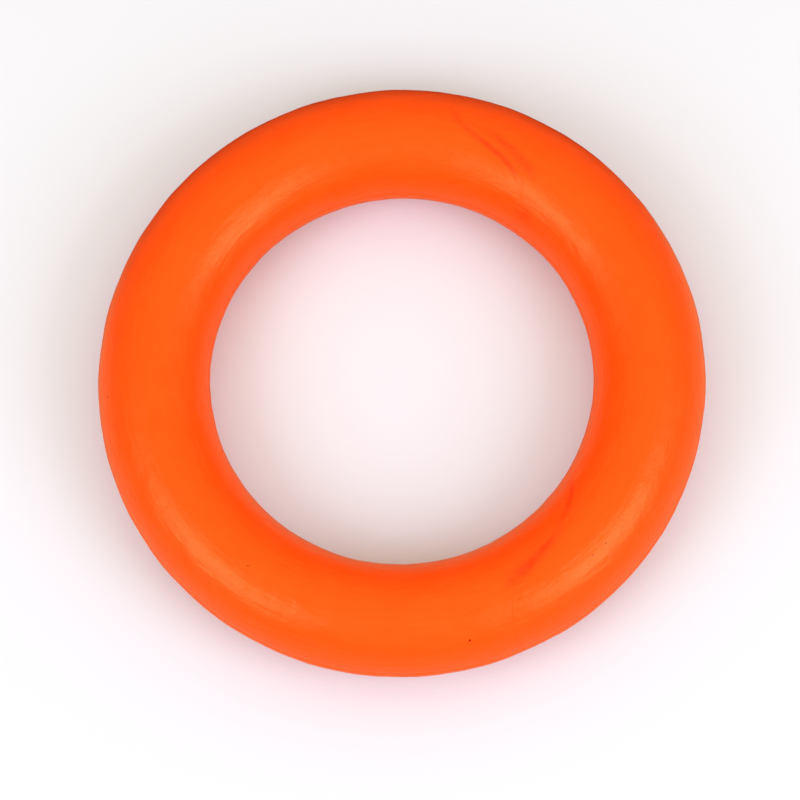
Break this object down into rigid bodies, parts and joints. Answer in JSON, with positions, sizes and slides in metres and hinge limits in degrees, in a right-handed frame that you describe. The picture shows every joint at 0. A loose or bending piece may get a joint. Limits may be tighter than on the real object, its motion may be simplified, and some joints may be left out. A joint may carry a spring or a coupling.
{
  "type": "flying ring",
  "caption": "Hollow air-filled rubber throwing ring with a round tube section, spliced from two lengths of tube.",
  "frame": {"origin": "centre of the ring, on its axis and at mid-height of the tube", "axes": "+Z along the ring's axis, up as it lies flat; +X towards the middle of the shorter length of tube, to the right in the picture; +Y away from the viewer"},
  "size_m": [0.17, 0.17, 0.031],
  "materials": {
    "ring_rubber": "moulded orange rubber, satin, faint mottling",
    "splice_gum": "redder orange splicing gum, satin",
    "plug_gum": "soft amber gum, dull"
  },
  "bodies": {
    "root": {"long_tube": "ring_rubber", "short_tube": "ring_rubber", "upper_splice_gum": "splice_gum", "lower_splice_gum": "splice_gum", "valve_plug": "plug_gum"}
  },
  "joints": []
}
